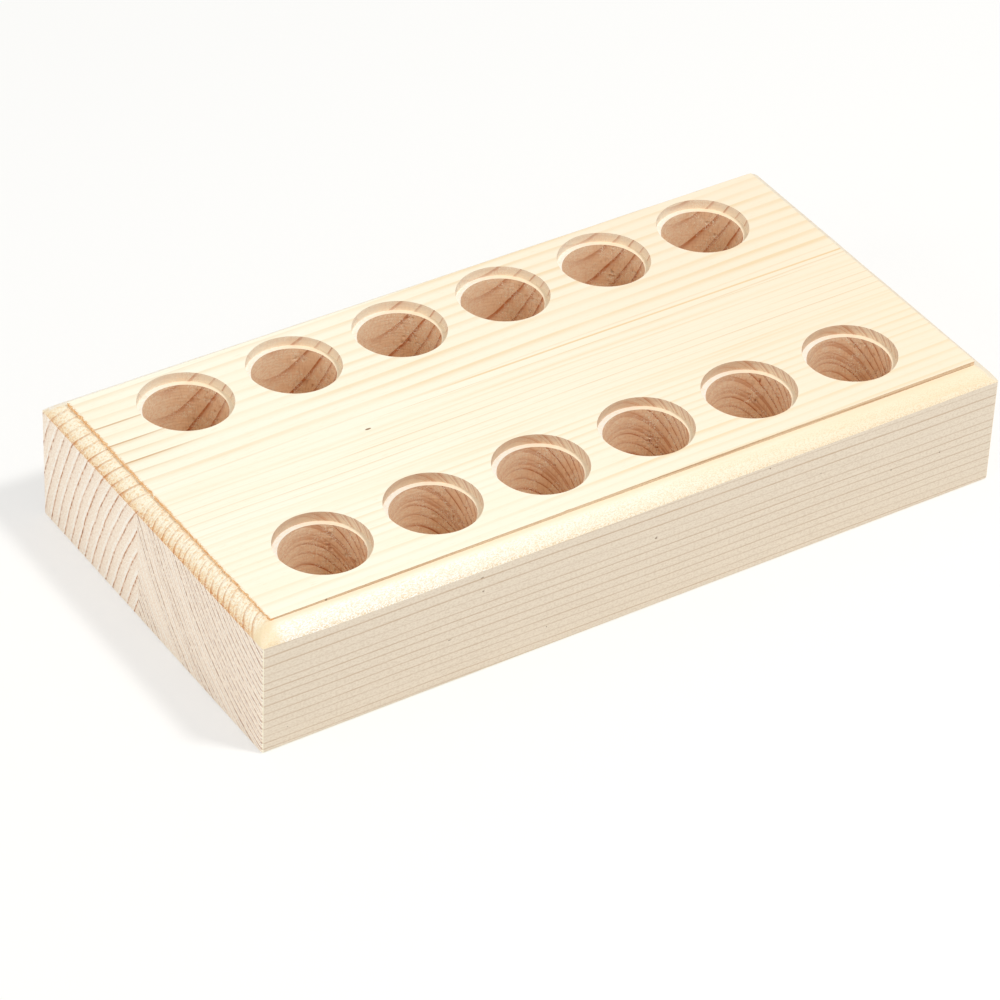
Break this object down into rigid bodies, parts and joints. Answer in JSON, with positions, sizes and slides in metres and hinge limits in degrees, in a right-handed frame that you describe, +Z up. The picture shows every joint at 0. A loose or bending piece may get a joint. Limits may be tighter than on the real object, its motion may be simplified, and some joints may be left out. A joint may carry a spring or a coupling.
{
  "type": "wooden holder block",
  "caption": "Glued softwood block holding rows of stepped blind sockets in its top face, with a stepped round-over along all its top edges.",
  "frame": {"origin": "middle of the flat underside", "axes": "+X along the block's length and its two rows, +Y towards the rear row, +Z up out of the sockets"},
  "size_m": [0.15, 0.075, 0.025],
  "materials": {
    "front_stave_wood": "bare sanded pine, fine growth rings",
    "rear_stave_wood": "bare sanded pine, wide growth rings",
    "wood_glue": "hardened wood glue, flush with the wood"
  },
  "bodies": {
    "root": {"front_stave": "front_stave_wood", "glue_line": "wood_glue", "rear_stave": "rear_stave_wood"}
  },
  "joints": []
}
